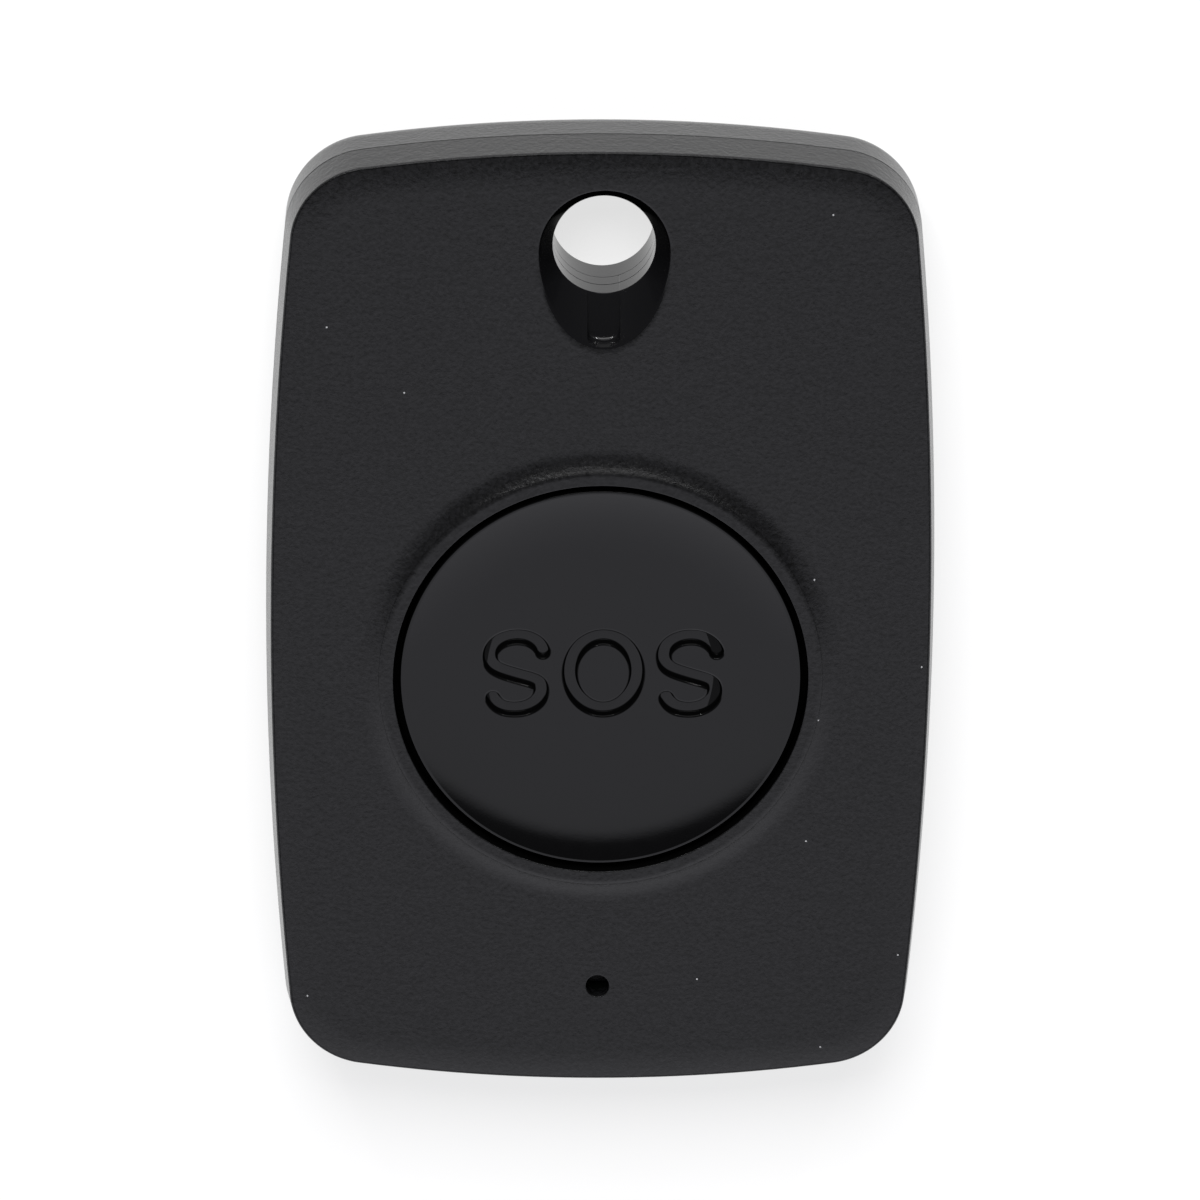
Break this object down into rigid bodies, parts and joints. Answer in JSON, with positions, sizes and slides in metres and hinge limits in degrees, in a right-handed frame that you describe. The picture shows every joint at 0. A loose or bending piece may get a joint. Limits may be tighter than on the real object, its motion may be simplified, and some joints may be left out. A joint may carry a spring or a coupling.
{
  "type": "wireless panic button",
  "caption": "Flat key-fob case with bowed sides, one large round dished button in a raised collar, a scooped keyring bore and a small status light hole.",
  "frame": {"origin": "middle of the flat back face, on which the object lies", "axes": "+Z out of the front face, +Y towards the keyring end, +X to the right as the front is read"},
  "size_m": [0.04, 0.06, 0.0085],
  "materials": {
    "case_plastic": "fine spark-eroded texture, matt",
    "button_plastic": "satin gloss",
    "soft_rubber": "matt",
    "board_laminate": "satin solder mask",
    "cell_steel": "bright",
    "spring_steel": "satin",
    "contact_gold": "bright",
    "chip_plastic": "matt",
    "plunger_plastic": "matt",
    "antenna_copper": "bright",
    "light_resin": "clear gloss",
    "chip_ceramic": "matt"
  },
  "bodies": {
    "case": {"front_shell": "case_plastic", "rear_shell": "case_plastic", "return_ring": "soft_rubber", "circuit_board": "board_laminate", "coin_cell": "cell_steel", "battery_clip": "spring_steel", "battery_contact": "contact_gold", "switch_base": "chip_plastic", "switch_cover": "spring_steel", "switch_terminals": "spring_steel", "antenna": "antenna_copper", "radio_chip": "chip_plastic", "microcontroller": "chip_plastic", "crystal": "spring_steel", "status_light": "light_resin", "chip_capacitors": "chip_ceramic", "chip_resistors": "chip_plastic", "chip_inductors": "chip_ceramic"},
    "button": {"button_cap": "button_plastic"},
    "plunger": {"switch_plunger": "plunger_plastic"}
  },
  "joints": [
    {"name": "button_press", "type": "slide", "parent": "case", "child": "button", "axis": [0, 0, -1], "range_m": [0, 0.00025], "stiffness_N_per_m": 4000, "deforming": ["return_ring"]},
    {"name": "plunger_travel", "type": "slide", "parent": "case", "child": "plunger", "axis": [0, 0, -1], "range_m": [0, 0.00025]}
  ],
  "couplings": [
    {"joint": "plunger_travel", "follows": "button_press", "ratio": 1}
  ]
}
